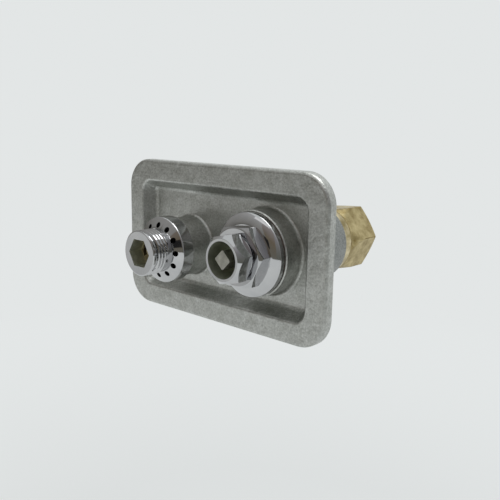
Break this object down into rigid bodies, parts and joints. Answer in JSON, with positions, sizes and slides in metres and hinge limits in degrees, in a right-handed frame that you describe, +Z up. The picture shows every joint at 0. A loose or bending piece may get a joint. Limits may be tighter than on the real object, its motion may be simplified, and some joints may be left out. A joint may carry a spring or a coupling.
{
  "type": "anti-siphon wall hydrant",
  "caption": "Flush wall hydrant: a cast face plate with a recessed pan, a vacuum-breaker hose outlet, a key-operated valve and a threaded inlet behind.",
  "frame": {"origin": "middle of the face plate on the wall plane, which is the back of its rim", "axes": "+Z up, +X to the viewer's right, +Y into the wall"},
  "size_m": [0.161, 0.1239, 0.0948],
  "materials": {
    "cast_bronze": "satin nickel-bronze casting",
    "chrome_plate": "polished chrome plate on brass",
    "yellow_brass": "machined brass, slightly dull",
    "turned_bronze": "turned bronze",
    "stem_bronze": "dull plated bronze",
    "stainless_steel": "drawn wire and turned steel",
    "black_rubber": "matte moulded rubber",
    "fibre_gasket": "red-brown fibre sheet",
    "stem_packing": "white packing"
  },
  "bodies": {
    "housing": {"face_casting": "cast_bronze", "bonnet": "chrome_plate", "packing_nut": "chrome_plate", "hose_nozzle": "chrome_plate", "inlet_fitting": "yellow_brass", "valve_seat": "turned_bronze", "breaker_body": "turned_bronze", "gland_washer": "turned_bronze", "plunger_guide": "turned_bronze", "check_spring": "stainless_steel", "stem_retaining_ring": "stainless_steel", "vent_diaphragm": "black_rubber", "bonnet_gasket": "fibre_gasket", "inlet_gasket": "fibre_gasket", "breaker_gasket": "fibre_gasket", "packing_ring_front": "stem_packing", "packing_ring_rear": "stem_packing", "thrust_washer": "stem_packing"},
    "stem": {"operating_stem": "stem_bronze"},
    "plunger": {"valve_plunger": "turned_bronze", "seat_washer": "black_rubber", "washer_retainer": "turned_bronze", "washer_screw": "stainless_steel"},
    "check": {"check_plunger": "turned_bronze", "check_washer": "black_rubber"}
  },
  "joints": [
    {"name": "stem_turn", "type": "hinge", "parent": "housing", "child": "stem", "pos_m": [0.0335, 0, 0.0004], "axis": [0, -1, 0], "range_deg": [0, 450]},
    {"name": "plunger_slide", "type": "slide", "parent": "housing", "child": "plunger", "axis": [0, -1, 0], "range_m": [0, 0.00635]},
    {"name": "check_slide", "type": "slide", "parent": "housing", "child": "check", "axis": [0, -1, 0], "range_m": [0, 0.003], "stiffness_N_per_m": 200, "springref_m": -0.002, "deforming": ["check_spring"]}
  ],
  "couplings": [
    {"joint": "stem_turn", "follows": "plunger_slide", "rad_per_m": 1236.8}
  ]
}
